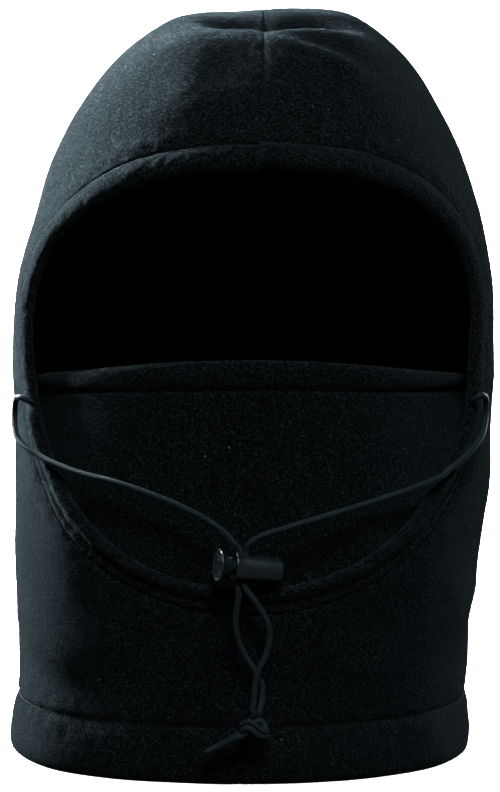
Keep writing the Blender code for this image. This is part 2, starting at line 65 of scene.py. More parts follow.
# Height, half width, front depth, back depth, lean.
SECTIONS = (
    (0.0000, 0.1142, 0.0900, 0.0900, -0.0062),
    (0.0270, 0.1124, 0.0885, 0.0870, -0.0056),
    (0.0700, 0.1132, 0.0900, 0.0840, -0.0036),
    (0.1150, 0.1160, 0.0918, 0.0850, -0.0014),
    (0.1600, 0.1172, 0.0935, 0.0890, -0.0002),
    (0.2050, 0.1180, 0.0945, 0.0930, 0.0000),
    (0.2450, 0.1130, 0.0945, 0.0943, 0.0010),
    (0.2850, 0.1022, 0.0900, 0.0915, 0.0030),
    (0.3150, 0.0878, 0.0790, 0.0830, 0.0042),
    (0.3380, 0.0700, 0.0645, 0.0690, 0.0050),
    (0.3530, 0.0525, 0.0490, 0.0530, 0.0054),
    (0.3610, 0.0350, 0.0330, 0.0350, 0.0056),
    (0.3640, 0.0000, 0.0000, 0.0000, 0.0056),
)
CROWN = SECTIONS[-1][0]

OPENING_MIDDLE = 0.205
OPENING_HALF_WIDTH = 0.1085
BROW_RISE = 0.091
CHIN_DROP = 0.117
BROW_SQUARENESS = 2.5
CHIN_SQUARENESS = 2.25
CASING_HALF_WIDTH = 0.0063
EXIT_HEIGHT = 0.176
HEM_HEIGHT = 0.0270

MASK_HALF_WIDTH = 0.1090
MASK_DEPTH = 0.0845
MASK_CENTRE = -0.0010
MASK_REACH = 0.1055
MASK_TOP = 0.2020
MASK_TOP_DROP = 0.0130
MASK_HEM = 0.0135
MASK_TUCK = 0.0030
MASK_LINE_DROP = 0.0071

CORD_RADIUS = 0.00140

LOCK_CENTRE = Vector((-0.0036, -0.0995, 0.1063))
LOCK_TURN = math.radians(18)
LOCK_RISE = math.radians(8)
CORD_PLACES = (0.00340, 0.00030)

# Routes of the elastic's free stretches, from the casing to the lock and from the lock to the knot.
LEFT_RUN = (
    (-0.1056, -0.0469, 0.1765),
    (-0.1056, -0.0493, 0.1770),
    (-0.1060, -0.0520, 0.1777),
    (-0.1078, -0.0543, 0.1789),
    (-0.1104, -0.0538, 0.1800),
    (-0.1125, -0.0508, 0.1794),
    (-0.1136, -0.0474, 0.1760),
    (-0.1140, -0.0464, 0.1706),
    (-0.1138, -0.0484, 0.1650),
    (-0.1124, -0.0520, 0.1604),
    (-0.1081, -0.0564, 0.1566),
    (-0.1017, -0.0608, 0.1532),
    (-0.0954, -0.0650, 0.1505),
    (-0.0829, -0.0722, 0.1469),
    (-0.0640, -0.0820, 0.1435),
    (-0.0461, -0.0897, 0.1385),
    (-0.0340, -0.0939, 0.1342),
    (-0.0230, -0.0976, 0.1294),
    (-0.0142, -0.1000, 0.1239),
    (-0.0092, -0.1010, 0.1186),
)
RIGHT_RUN = (
    (0.1054, -0.0469, 0.1765),
    (0.1054, -0.0493, 0.1770),
    (0.1056, -0.0521, 0.1782),
    (0.1070, -0.0545, 0.1801),
    (0.1090, -0.0545, 0.1812),
    (0.1110, -0.0520, 0.1800),
    (0.1118, -0.0490, 0.1762),
    (0.1116, -0.0478, 0.1712),
    (0.1110, -0.0492, 0.1662),
    (0.1092, -0.0530, 0.1610),
    (0.1050, -0.0578, 0.1562),
    (0.0995, -0.0619, 0.1514),
    (0.0930, -0.0660, 0.1470),
    (0.0882, -0.0690, 0.1437),
    (0.0712, -0.0784, 0.1387),
    (0.0474, -0.0889, 0.1327),
    (0.0253, -0.0964, 0.1273),
    (0.0137, -0.0994, 0.1242),
    (0.0053, -0.1006, 0.1218),
    (-0.0010, -0.1010, 0.1182),
)
LEFT_TAIL = (
    (-0.0066, -0.1004, 0.0930),
    (-0.0076, -0.0992, 0.0850),
    (-0.0078, -0.0984, 0.0777),
    (-0.0066, -0.0976, 0.0710),
    (-0.0034, -0.0968, 0.0637),
    (0.0012, -0.0962, 0.0563),
    (0.0044, -0.0960, 0.0495),
    (0.0044, -0.0970, 0.0430),
    (0.0032, -0.0988, 0.0374),
)
RIGHT_TAIL = (
    (-0.0008, -0.1002, 0.0930),
    (0.0038, -0.1000, 0.0865),
    (0.0070, -0.0998, 0.0800),
    (0.0080, -0.0997, 0.0740),
    (0.0066, -0.0998, 0.0655),
    (0.0030, -0.1000, 0.0572),
    (0.0010, -0.0999, 0.0492),
    (0.0006, -0.0998, 0.0430),
    (-0.0002, -0.0998, 0.0381),
)


def between(a, b, c, d, t):
    """Points on the smooth curve from b to c, where a comes before them and d after."""
    return (2 * b + (c - a) * t + (2 * a - 5 * b + 4 * c - d) * t**2 + (3 * b - a - 3 * c + d) * t**3) / 2


def smooth_run(rows, steps):
    """A smooth curve through the rows of numbers, with this many steps to each stretch."""
    rows = np.array(rows, float)
    ends = np.vstack([2 * rows[0] - rows[1], rows, 2 * rows[-1] - rows[-2]])
    t = (np.arange(steps) / steps)[:, None]
    return np.vstack([*(between(*four, t) for four in zip(ends, ends[1:], ends[2:], ends[3:])), rows[-1:]])


def lengths_along(line):
    """How far along the line each of its points is."""
    return np.concatenate([[0], np.cumsum(np.linalg.norm(np.diff(line, axis=0), axis=1))])


def interpolated(at, lengths, rows):
    """The rows of three numbers, read at these lengths."""
    return np.stack([np.interp(at, lengths, rows[:, k]) for k in range(3)], axis=-1)


PROFILE = smooth_run(SECTIONS, 12)


def section(z):
    """(half width, front depth, back depth, lean) at these heights."""
    z = np.clip(z, 0, CROWN)
    return [np.interp(z, PROFILE[:, 0], PROFILE[:, k]) for k in (1, 2, 3, 4)]


def signed_power(value, power):
    return np.sign(value) * np.abs(value) ** power


def hood(angle, z):
    """Points on the hood's outer surface. The angle is 0 at the front seam and grows towards +X."""
    angle, z = np.broadcast_arrays(np.asarray(angle, float), np.asarray(z, float))
    width, front, back, lean = section(z)
    depth = np.where(np.cos(angle) > 0, front, back)
    x = lean + width * signed_power(np.sin(angle), 2 / SQUARENESS)
    y = -depth * signed_power(np.cos(angle), 2 / SQUARENESS)
    return np.stack([x, y, z], axis=-1)


def unit(vectors):
    return vectors / np.maximum(np.linalg.norm(vectors, axis=-1, keepdims=True), 1e-12)


def hood_normal(angle, z):
    """The outward directions there."""
    angle, z = np.broadcast_arrays(np.asarray(angle, float), np.asarray(z, float))
    across = hood(angle + 0.02, z) - hood(angle - 0.02, z)
    up = hood(angle, z + 0.0005) - hood(angle, z - 0.0005)
    normal = unit(np.cross(across, up))
    pole = z > CROWN - 0.0006
    return np.where(pole[..., None], np.array([0.0, 0.0, 1.0]), normal)


def angle_at(x, z):
    """The angle of the point on the hood's front half with this x."""
    width, _, _, lean = section(z)
    share = np.minimum(np.abs(x - lean) / width, 1)
    return np.sign(x - lean) * np.arcsin(share ** (SQUARENESS / 2))


def rim(turn, side):
    """(x, z) on the middle of the opening's rim. The turn is 0 at the chin and pi at the brow."""
    low = turn < math.pi / 2
    height = np.where(low, CHIN_DROP, BROW_RISE)
    squareness = np.where(low, CHIN_SQUARENESS, BROW_SQUARENESS)
    z = OPENING_MIDDLE - height * np.sign(np.cos(turn)) * np.abs(np.cos(turn)) ** (2 / squareness)
    x = section(z)[3] + side * OPENING_HALF_WIDTH * np.abs(np.sin(turn)) ** (2 / squareness)
    return x, z


def rim_frame(turn, side):
    """The rim's middle points, and the directions out of the cloth, along the rim and off the opening."""
    turn = np.asarray(turn, float)
    x, z = rim(turn, side)
    angle = angle_at(x, z)
    before, after = (rim(np.clip(turn + step, 0, math.pi), side) for step in (-0.02, 0.02))
    along = hood(angle_at(*after), after[1]) - hood(angle_at(*before), before[1])
    seam = (turn < 0.001) | (turn > math.pi - 0.001)
    straight = np.stack([np.where(turn < 1, side, -side), 0 * turn, 0 * turn], axis=-1)
    along = np.where(seam[..., None], straight, along)
    out = hood_normal(angle, z)
    along = unit(along - (along * out).sum(-1, keepdims=True) * out)
    return hood(angle, z), out, along, side * np.cross(along, out)


def even_turns(count, side):
    """Turns from the chin to the brow, evenly spread along the rim's length."""
    fine = np.linspace(0, math.pi, 2001)
    lengths = lengths_along(rim_frame(fine, side)[0])
    return np.interp(np.linspace(0, lengths[-1], count), lengths, fine)


# ---------------------------------------------------------------- how the cloth lies


def waves(points, length, count, seed):
    """Smooth noise, mostly between -1 and 1, with features of about this length."""
    rng = np.random.default_rng(seed)
    directions = unit(rng.normal(size=(count, 3)))
    rates = directions * (2 * math.pi / (length * rng.uniform(0.7, 1.4, count)))[:, None]
    phases = rng.uniform(0, 2 * math.pi, count)
    return np.sin(points @ rates.T + phases).sum(axis=-1) / math.sqrt(count)


def smoothstep(low, high, value):
    t = np.clip((value - low) / (high - low), 0, 1)
    return t * t * (3 - 2 * t)


def bump(value, middle, width):
    return np.exp(-(((value - middle) / width) ** 2))


# Folds: where each starts and ends, its half width, and how far it stands out (or in, if below 0).
FOLDS = (
    ((0.0075, -0.046, 0.352), (0.0660, -0.064, 0.329), 0.0065, 0.0019),
    ((0.0140, -0.045, 0.352), (0.0540, -0.054, 0.344), 0.0060, -0.0026),
    ((0.0040, -0.052, 0.349), (-0.0240, -0.066, 0.331), 0.0130, -0.0022),
    ((-0.0240, -0.044, 0.353), (-0.0640, -0.050, 0.331), 0.0100, 0.0014),
    ((-0.1160, -0.020, 0.068), (-0.0860, -0.074, 0.056), 0.0100, 0.0018),
    ((-0.1160, -0.020, 0.045), (-0.0800, -0.076, 0.040), 0.0080, -0.0016),
    ((0.1120, -0.010, 0.082), (0.1000, -0.055, 0.066), 0.0110, 0.0020),
    ((0.1120, -0.010, 0.052), (0.0960, -0.055, 0.044), 0.0090, -0.0006),
    ((0.0980, -0.060, 0.120), (0.0640, -0.086, 0.070), 0.0130, 0.0012),
    ((0.0320, -0.086, 0.056), (0.0700, -0.078, 0.060), 0.0170, 0.0016),
    ((-0.0980, -0.060, 0.112), (-0.0600, -0.086, 0.064), 0.0130, 0.0010),
    ((0.1000, 0.046, 0.200), (0.0500, 0.082, 0.120), 0.0140, -0.0020),
    ((-0.0980, 0.048, 0.190), (-0.0420, 0.082, 0.110), 0.0140, -0.0018),
    ((-0.0700, 0.070, 0.090), (0.0200, 0.084, 0.066), 0.0120, -0.0020),
    ((0.0800, 0.062, 0.100), (0.0100, 0.084, 0.050), 0.0110, 0.0016),
    ((0.0300, 0.060, 0.340), (0.0700, 0.062, 0.290), 0.0120, -0.0016),
    ((-0.0200, 0.060, 0.338), (-0.0660, 0.064, 0.284), 0.0120, -0.0015),
)
PINCH = np.array([0.0073, -0.044, 0.353])
HOLLOW_MIDDLE = (0.0130, -0.0270)
HOLLOW_SIZE = (0.0340, 0.0110)
HOLLOW_DEPTH = 0.0150


def crumple(points):
    """Moves points of the smooth hood to where the standing cloth really lies."""
    x, y, z = points[..., 0], points[..., 1], points[..., 2]
    width, front, back, lean = section(z)
    depth = np.where(y < 0, front, back)
    across, forward = (x - lean) / np.maximum(width, 0.02) ** 2, y / np.maximum(depth, 0.02) ** 2
    flat = unit(np.stack([across, forward, 0 * z], axis=-1))
    dome = smoothstep(0.27, 0.36, z)[..., None]
    out = unit(flat * (1 - dome) + np.array([0.0, 0.0, 1.0]) * dome)
    rise = 0.0011 * waves(points, 0.110, 9, 3) + 0.0004 * waves(points, 0.035, 12, 5)
    rise += 0.00010 * waves(points, 0.0045, 24, 7)
    for start, end, half_width, height in FOLDS:
        start, end = np.array(start), np.array(end)
        line = end - start
        share = ((points - start) @ line) / (line @ line)
        gap = np.linalg.norm(points - (start + np.clip(share, 0, 1)[..., None] * line), axis=-1)
        taper = smoothstep(-0.25, 0.15, share) * smoothstep(1.35, 0.7, share)
        rise = rise + height * np.exp(-((gap / half_width) ** 2)) * taper
    moved = points + rise[..., None] * out
    top = smoothstep(0.325, 0.345, z)
    eye = np.exp(-(np.abs((x - HOLLOW_MIDDLE[0]) / HOLLOW_SIZE[0]) ** 3.0))
    across = y - HOLLOW_MIDDLE[1] - 0.10 * np.abs(x - HOLLOW_MIDDLE[0])
    sink = HOLLOW_DEPTH * eye * np.exp(-((across / HOLLOW_SIZE[1]) ** 2))
    sink = sink + 0.0020 * bump(x, PINCH[0], 0.0060) * bump(y, PINCH[1], 0.0070)
    sink = sink + 0.0006 * bump(x, PINCH[0] + 0.001, 0.0016) * bump(y, 0.010, 0.0160)
    moved[..., 2] -= sink * top
    return moved


def spline_weights(shares, count):
    """How much each of the evenly spaced points counts at these shares of the way along them."""
    at = np.asarray(shares) * (count - 1)
    first = np.minimum(at.astype(int), count - 2)
    t = at - first
    parts = (
        (1 - t) ** 3 / 6,
        (3 * t**3 - 6 * t**2 + 4) / 6,
        (-3 * t**3 + 3 * t**2 + 3 * t + 1) / 6,
        t**3 / 6,
    )
    weights = np.zeros((len(t), count))
    for offset, part in zip((-1, 0, 1, 2), parts):
        np.add.at(weights, (np.arange(len(t)), np.clip(first + offset, 0, count - 1)), part)
    return weights


def spread(down, across, moved):
    """The coarse grid's moves, read on a finer grid with these weights of its rows and columns."""
    return np.einsum("ai,bj,ijk->abk", down, across, moved)


SETTLING_FRAMES = 24


def settled(rest, held, limit):
    """How far each point of a grid of cloth moves as it settles under its weight, with some points held."""
    rows, columns = rest.shape[:2]
    mesh = bpy.data.meshes.new("settling")
    mesh.from_pydata(rest.reshape(-1, 3).tolist(), [], skin_faces(rows, columns).tolist())
    cloth = linked("settling", mesh)
    group = cloth.vertex_groups.new(name="held")
    group.add([int(i) for i in np.flatnonzero(held.ravel())], 1.0, "REPLACE")
    modifier = cloth.modifiers.new("cloth", "CLOTH")
    settings = modifier.settings
    settings.quality = 8
    settings.mass = 0.06
    settings.tension_stiffness = settings.compression_stiffness = 20
    settings.shear_stiffness = 8
    settings.bending_stiffness = 0.6
    settings.vertex_group_mass = "held"
    settings.shrink_min = settings.shrink_max = -0.014
    settings.effector_weights.gravity = 0.35
    modifier.collision_settings.use_collision = False
    scene = bpy.context.scene
    for frame_number in range(1, SETTLING_FRAMES + 1):
        scene.frame_set(frame_number)
    found = cloth.evaluated_get(bpy.context.evaluated_depsgraph_get()).to_mesh()
    moved = np.array([vertex.co[:] for vertex in found.vertices]).reshape(rest.shape) - rest
    bpy.data.objects.remove(cloth)
    scene.frame_set(1)
    size = np.linalg.norm(moved, axis=-1, keepdims=True)
    return moved * limit / np.maximum(size, limit)


# ---------------------------------------------------------------- making meshes


def skin_faces(rows, columns, wrap_rows=False, wrap_columns=False):
    """The quads of a grid of points, numbered row by row."""
    down = rows if wrap_rows else rows - 1
    across = columns if wrap_columns else columns - 1
    i, j = np.meshgrid(np.arange(down), np.arange(across), indexing="ij")
    k, m = (i + 1) % rows, (j + 1) % columns
    corners = [i * columns + j, i * columns + m, k * columns + m, k * columns + j]
    return np.stack(corners, axis=-1).reshape(-1, 4)


def linked(name, data):
    made = bpy.data.objects.new(name, data)
    bpy.context.scene.collection.objects.link(made)
    return made


def face_outwards(mesh, merge=False):
    bm = bmesh.new()
    bm.from_mesh(mesh)
    if merge:
        bmesh.ops.remove_doubles(bm, verts=bm.verts, dist=1e-6)
    bmesh.ops.recalc_face_normals(bm, faces=bm.faces)
    bm.to_mesh(mesh)
    bm.free()


def piece(name, points, faces, look, body="hood", replaces=(), slot="fleece", sharp=None, ride=True):
    """A closed, smooth-shaded piece that rides on a body of the frame."""
    mesh = bpy.data.meshes.new(name)
    mesh.from_pydata(np.asarray(points).reshape(-1, 3).tolist(), [], [tuple(f) for f in faces])
    face_outwards(mesh, merge=True)
    mesh.shade_smooth()
    if sharp:
        mesh.set_sharp_from_angle(angle=math.radians(sharp))
    mesh.materials.append(look)
    made = linked(name, mesh)
    if ride:
        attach(made, body)
    if replaces:
        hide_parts(*replaces)
    return made


def slab(name, outer, inner, look, **facts):
    """A sheet of cloth from two grids of points, joined round their edges."""
    rows, columns = outer.shape[:2]
    count = rows * columns
    quads = skin_faces(rows, columns)
    index = np.arange(count).reshape(rows, columns)
    edges = []
    for line in (index[0], index[-1, ::-1], index[::-1, 0], index[:, -1]):
        edges.append(np.stack([line[:-1], line[1:], line[1:] + count, line[:-1] + count], axis=-1))
    faces = np.vstack([quads, quads[:, ::-1] + count, *edges])
    points = np.concatenate([outer.reshape(-1, 3), inner.reshape(-1, 3)])
    return piece(name, points, faces, look, sharp=55, **facts)


def loft(name, rings, look, closed=False, **facts):
    """A closed tube through the rings of points."""
    count, around = rings.shape[:2]
    faces = [tuple(f) for f in skin_faces(count, around, wrap_rows=closed, wrap_columns=True)]
    if not closed:
        faces.append(tuple(range(around)))
        faces.append(tuple(range((count - 1) * around, count * around)))
    return piece(name, rings, faces, look, **facts)


def frames_along(line):
    """Two directions across a line of points, which turn as little as possible along it."""
    tangents = unit(np.gradient(line, axis=0))
    start = np.cross(tangents[0], [0.0, 0.0, 1.0])
    if np.linalg.norm(start) < 0.1:
        start = np.cross(tangents[0], [1.0, 0.0, 0.0])
    first = [start / np.linalg.norm(start)]
    for tangent in tangents[1:]:
        turned = first[-1] - (first[-1] @ tangent) * tangent
        first.append(turned / np.linalg.norm(turned))
    first = np.array(first)
    return first, np.cross(tangents, first), tangents


def circles(first, second, sides):
    """At each point of a line, the directions all round it."""
    around = np.linspace(0, 2 * math.pi, sides, endpoint=False)[None, :, None]
    return np.cos(around) * first[:, None] + np.sin(around) * second[:, None]


def resampled(line, step):
    """The line again, with points about a step apart."""
    line = np.asarray(line, float)
    lengths = lengths_along(line)
    return interpolated(np.linspace(0, lengths[-1], max(3, round(lengths[-1] / step) + 1)), lengths, line)


def apply_modifier(made, name):
    with bpy.context.temp_override(object=made, active_object=made, selected_objects=[made]):
        bpy.ops.object.modifier_apply(modifier=name)


# ---------------------------------------------------------------- materials


def node(tree, kind, **inputs):
    made = tree.nodes.new(kind)
    for key, value in inputs.items():
        made.inputs[key.replace("_", " ")].default_value = value
    return made


def base_material(name, roughness):
    """A material, its nodes, its shader, and the place on the object."""
    made = bpy.data.materials.new(name)
    made.use_nodes = True
    tree = made.node_tree
    shader = tree.nodes["Principled BSDF"]
    shader.inputs["Roughness"].default_value = roughness
    return made, tree, shader, tree.nodes.new("ShaderNodeTexCoord").outputs["Object"]


def set_values(shader, **values):
    """Sets the shader's own values."""
    for key, value in values.items():
        shader.inputs[key.replace("_", " ")].default_value = value


def two_tones(tree, value, dark, light):
    return ramp(tree, value, ((0.3, dark), (0.7, light)))


def noise(tree, place, scale, detail=2.0, roughness=0.5):
    made = node(tree, "ShaderNodeTexNoise", Scale=scale, Detail=detail, Roughness=roughness)
    tree.links.new(place, made.inputs["Vector"])
    return made.outputs["Fac"]


def ramp(tree, value, stops):
    made = tree.nodes.new("ShaderNodeValToRGB")
    while len(made.color_ramp.elements) < len(stops):
        made.color_ramp.elements.new(0.5)
    for element, (at, colour) in zip(made.color_ramp.elements, stops):
        element.position = at
        element.color = (*colour, 1)
    tree.links.new(value, made.inputs["Fac"])
    return made.outputs["Color"]


def mixed(tree, share, first, second, kind="MIX"):
    made = tree.nodes.new("ShaderNodeMix")
    made.data_type = "RGBA"
    made.blend_type = kind
    for value, socket in ((share, made.inputs["Factor"]), (first, made.inputs[6]), (second, made.inputs[7])):
        if isinstance(value, bpy.types.NodeSocket):
            tree.links.new(value, socket)
        else:
            socket.default_value = value
    return made.outputs[2]


def maths(tree, operation, *values):
    made = tree.nodes.new("ShaderNodeMath")
    made.operation = operation
    for value, socket in zip(values, made.inputs):
        if isinstance(value, bpy.types.NodeSocket):
            tree.links.new(value, socket)
        else:
            socket.default_value = value
    return made.outputs[0]


def bumped(tree, shader, layers):
    """Chains bump layers: (height, distance, strength)."""
    before = None
    for height, distance, strength in layers:
        made = node(tree, "ShaderNodeBump", Distance=distance, Strength=strength)
        tree.links.new(height, made.inputs["Height"])
        if before:
            tree.links.new(before, made.inputs["Normal"])
        before = made.outputs["Normal"]
    tree.links.new(before, shader.inputs["Normal"])


DARK_FLEECE = (0.0004, 0.0005, 0.0006)
MIDDLE_FLEECE = (0.0018, 0.0023, 0.0025)
LIGHT_FLEECE = (0.0112, 0.0160, 0.0180)
LINT = (0.035, 0.045, 0.050)


def fleece_material():
    """Brushed polyester fleece: a dark ground, paler fibre tips, little pills and a few specks of lint."""
    made, tree, shader, place = base_material("fleece", 0.93)
    fibres = noise(tree, place, 1050, 4.0, 0.72)
    pills = noise(tree, place, 620, 2.0, 0.55)
    patches = noise(tree, place, 38, 2.0, 0.5)
    pile = maths(tree, "ADD", maths(tree, "MULTIPLY", fibres, 0.78), maths(tree, "MULTIPLY", pills, 0.22))
    tips = ramp(tree, pile, ((0.40, DARK_FLEECE), (0.51, MIDDLE_FLEECE), (0.66, LIGHT_FLEECE)))
    shade = two_tones(tree, patches, (0.84, 0.85, 0.87), (1.12, 1.11, 1.09))
    colour = mixed(tree, 1.0, tips, shade, "MULTIPLY")
    specks = node(tree, "ShaderNodeTexVoronoi", Scale=150.0)
    tree.links.new(place, specks.inputs["Vector"])
    near = maths(tree, "LESS_THAN", specks.outputs["Distance"], 0.075)
    chosen = maths(tree, "GREATER_THAN", noise(tree, place, 61, 0.0), 0.66)
    colour = mixed(tree, maths(tree, "MULTIPLY", near, chosen), colour, (*LINT, 1))
    tree.links.new(colour, shader.inputs["Base Color"])
    set_values(
        shader,
        Sheen_Weight=0.026,
        Sheen_Roughness=0.34,
        Sheen_Tint=(0.56, 0.85, 1.0, 1),
        Specular_IOR_Level=0.0,
    )
    bumped(tree, shader, ((pills, 0.0010, 0.8), (fibres, 0.0017, 1.0)))
    return made


def cord_material():
    """The elastic's braided sleeve: shiny round yarns."""
    made, tree, shader, place = base_material("elastic_cord", 0.52)
    yarn = noise(tree, place, 2600, 2.0, 0.6)
    worn = noise(tree, place, 120, 2.0, 0.5)
    colour = two_tones(tree, yarn, (0.0012, 0.0021, 0.0025), (0.0105, 0.0165, 0.0192))
    shade = two_tones(tree, worn, (0.88, 0.88, 0.9), (1.1, 1.1, 1.08))
    tree.links.new(mixed(tree, 1.0, colour, shade, "MULTIPLY"), shader.inputs["Base Color"])
    set_values(
        shader,
        Sheen_Weight=0.02,
        Sheen_Roughness=0.35,
        Sheen_Tint=(0.5, 0.82, 1.0, 1),
        Specular_IOR_Level=0.03,
        Specular_Tint=(0.45, 0.80, 0.95, 1),
    )
    bumped(tree, shader, ((yarn, 0.0002, 0.7),))
    return made


def thread_material():
    """Spun polyester sewing thread."""
    made, tree, shader, place = base_material("sewing_thread", 0.6)
    twist = noise(tree, place, 4200, 2.0, 0.6)
    colour = two_tones(tree, twist, (0.0003, 0.0004, 0.0005), (0.0012, 0.0018, 0.0022))
    tree.links.new(colour, shader.inputs["Base Color"])
    set_values(shader, Sheen_Weight=0.01, Specular_IOR_Level=0.03)
    bumped(tree, shader, ((twist, 0.0001, 0.6),))
    return made


def plastic_material():
    """Moulded acetal with a fine spark-eroded grain."""
    made, tree, shader, place = base_material("lock_plastic", 0.36)
    grain = noise(tree, place, 3000, 2.0, 0.5)
    flow = noise(tree, place, 90, 3.0, 0.5)
    scuffs = noise(tree, place, 420, 5.0, 0.7)
    colour = two_tones(tree, flow, (0.0022, 0.0033, 0.0039), (0.0038, 0.0056, 0.0066))
    pale = ramp(tree, scuffs, ((0.62, (0, 0, 0)), (0.74, (0.35, 0.35, 0.35))))
    colour = mixed(tree, pale, colour, (0.007, 0.010, 0.011, 1))
    tree.links.new(colour, shader.inputs["Base Color"])
    rough = maths(tree, "ADD", 0.20, maths(tree, "MULTIPLY", scuffs, 0.16))
    tree.links.new(rough, shader.inputs["Roughness"])
    set_values(shader, Specular_IOR_Level=0.55, Specular_Tint=(0.55, 0.82, 0.92, 1))
    bumped(tree, shader, ((grain, 0.00008, 0.5),))
    return made


def steel_material():
    """Drawn spring wire."""
    made, tree, shader, place = base_material("spring_steel", 0.28)
    drawn = noise(tree, place, 1800, 3.0, 0.6)
    colour = two_tones(tree, drawn, (0.48, 0.48, 0.49), (0.66, 0.66, 0.67))
    tree.links.new(colour, shader.inputs["Base Color"])
    set_values(shader, Metallic=1.0)
    bumped(tree, shader, ((drawn, 0.00003, 0.5),))
    return made


FLEECE_LOOK = fleece_material()
CORD_LOOK = cord_material()
THREAD_LOOK = thread_material()
PLASTIC_LOOK = plastic_material()
STEEL_LOOK = steel_material()


# ---------------------------------------------------------------- camera

CAMERA_PLACE = (-0.0012, -1.55, 0.375)
CAMERA_PITCH = 7.4
CAMERA_LENS = 143.98


def make_camera():
    data = bpy.data.cameras.new("camera")
    data.sensor_width = 36
    data.lens = CAMERA_LENS
    made = linked("camera", data)
    made.location = CAMERA_PLACE
    made.rotation_euler = (math.radians(90 - CAMERA_PITCH), 0, 0)
    bpy.context.scene.camera = made


make_camera()


# ---------------------------------------------------------------- the elastic cord and its lock


def lock_axes():
    """Unit directions: along the barrel to the button, along the cord slot upwards, and across both."""
    flat = math.cos(LOCK_RISE)
    along = Vector((-flat * math.cos(LOCK_TURN), -flat * math.sin(LOCK_TURN), math.sin(LOCK_RISE)))
    up = (Vector((0, 0, 1)) - along.z * along).normalized()
    return along, up, along.cross(up)


def in_lock(along, up=0.0, across=0.0):
    a, u, c = lock_axes()
    return LOCK_CENTRE + a * float(along) + u * float(up) + c * float(across)


BRAID_YARNS = 8  # each way round
BRAID_PITCH = 0.0058
BRAID_STEP = 0.00036
BRAID_SIDES = 32
BRAID_DEPTH = 0.00015


def braided(name, line, look, radius=CORD_RADIUS, **facts):
    """A cord with a braided sleeve: yarns wound both ways, each over one and under one."""
    line = resampled(line, BRAID_STEP)
    first, second, tangents = frames_along(line)
    around = np.linspace(0, 2 * math.pi, BRAID_SIDES, endpoint=False)
    along = np.arange(len(line))[:, None] * BRAID_STEP * 2 * math.pi / BRAID_PITCH
    right = np.cos(BRAID_YARNS / 2 * (around + along))
    left = np.cos(BRAID_YARNS / 2 * (around - along))
    over = right * left > 0
    relief = np.where(over, np.abs(right), np.abs(left)) - 0.6
    inset = np.minimum(np.arange(len(line)), np.arange(len(line))[::-1])[:, None] * BRAID_STEP
    rounded = np.sqrt(np.clip(1 - (1 - np.clip(inset / (0.5 * radius), 0, 1)) ** 2, 0.02, 1))
    reach = (radius + BRAID_DEPTH * relief) * rounded
    rings = line[:, None] + reach[..., None] * circles(first, second, BRAID_SIDES)
    return loft(name, rings, look, slot="elastic_cord", **facts), line


def make_runs():
    """The elastic on each side, from the casing down to the lock and on to the knot."""
    meet = 0.0076
    made = {}
    for side, place, run, tail in (
        ("left", CORD_PLACES[0], LEFT_RUN, LEFT_TAIL),
        ("right", CORD_PLACES[1], RIGHT_RUN, RIGHT_TAIL),
    ):
        down = [in_lock(place, up) for up in (meet, meet / 2, 0.0)]
        on = [in_lock(place, up) for up in (0.0, -meet / 2, -meet)]
        for name, route, end in (
            (f"elastic_{side}", [*run, *down], "lock"),
            (f"elastic_{side}_tail", [*on, *tail], "knot"),
        ):
            line = smooth_run([tuple(point) for point in route], 10)
            cord, path = braided(f"braided_{name}", line, CORD_LOOK, replaces=(name,), ride=False)
            if end == "lock":
                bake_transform(cord)
            else:
                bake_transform(cord)
            made[name] = (cord, path)
    return made


KNOT_CENTRE = np.array([0.0004, -0.0998, 0.0305])
# The strands' common path through the overhand knot, from the tails to the cut ends, about its centre.
KNOT_ROUTE = (
    (0.0016, 0.0006, 0.0085),
    (0.0012, 0.0010, 0.0052),
    (0.0000, 0.0024, 0.0022),
    (-0.0030, 0.0026, -0.0008),
    (-0.0050, 0.0004, -0.0018),
    (-0.0046, -0.0022, 0.0006),
    (-0.0018, -0.0034, 0.0016),
    (0.0018, -0.0034, -0.0010),
    (0.0048, -0.0020, -0.0032),
    (0.0056, 0.0006, -0.0014),
    (0.0042, 0.0020, 0.0018),
    (0.0008, 0.0012, 0.0024),
    (-0.0014, -0.0006, 0.0002),
    (-0.0040, -0.0010, -0.0028),
    (-0.0090, -0.0006, -0.0052),
    (-0.0150, 0.0006, -0.0086),
    (-0.0240, 0.0010, -0.0134),
)


def make_knot(tails):
    """Both strands go once round themselves and come out side by side as two cut ends."""
    middle = smooth_run(KNOT_ROUTE, 10) + KNOT_CENTRE
    middle = resampled(middle, 0.0004)
    first, second, _ = frames_along(middle)
    share = np.linspace(0, 1, len(middle))[:, None]
    made = []
    for side, name in ((1, "left"), (-1, "right")):
        turn = 0.5 + 1.2 * share
        across = np.cos(turn) * first + np.sin(turn) * second
        apart = 0.00146 + 0.0001 * np.sin(9 * share)
        line = middle + side * apart * across
        tail = tails[f"elastic_{name}_tail"][1]
        line = smooth_run(np.vstack([tail[-12:-1:5], line[6::8]]), 12)
        nodes = (f"elastic_end_{name}",) if name == "left" else (f"elastic_end_{name}", "elastic_knot")
        strand, _ = braided(f"knot_strand_{name}", line, CORD_LOOK, replaces=nodes, radius=1.02 * CORD_RADIUS)
        made.append(strand)
    return made


def turned(name, profile, look, steps=96, **facts):
    """A closed profile of (distance along the barrel, radius) turned round the lock's axis."""
    _, up, across = lock_axes()
    along = np.array([in_lock(a) for a, _ in profile])
    radius = np.array([r for _, r in profile])
    turn = np.linspace(0, 2 * math.pi, steps, endpoint=False)
    out = np.cos(turn)[:, None] * np.array(up) + np.sin(turn)[:, None] * np.array(across)
    points = along[None] + radius[None, :, None] * out[:, None]
    faces = skin_faces(steps, len(profile), wrap_rows=True)
    return piece(name, points, faces, look, slot="lock_plastic", **facts)


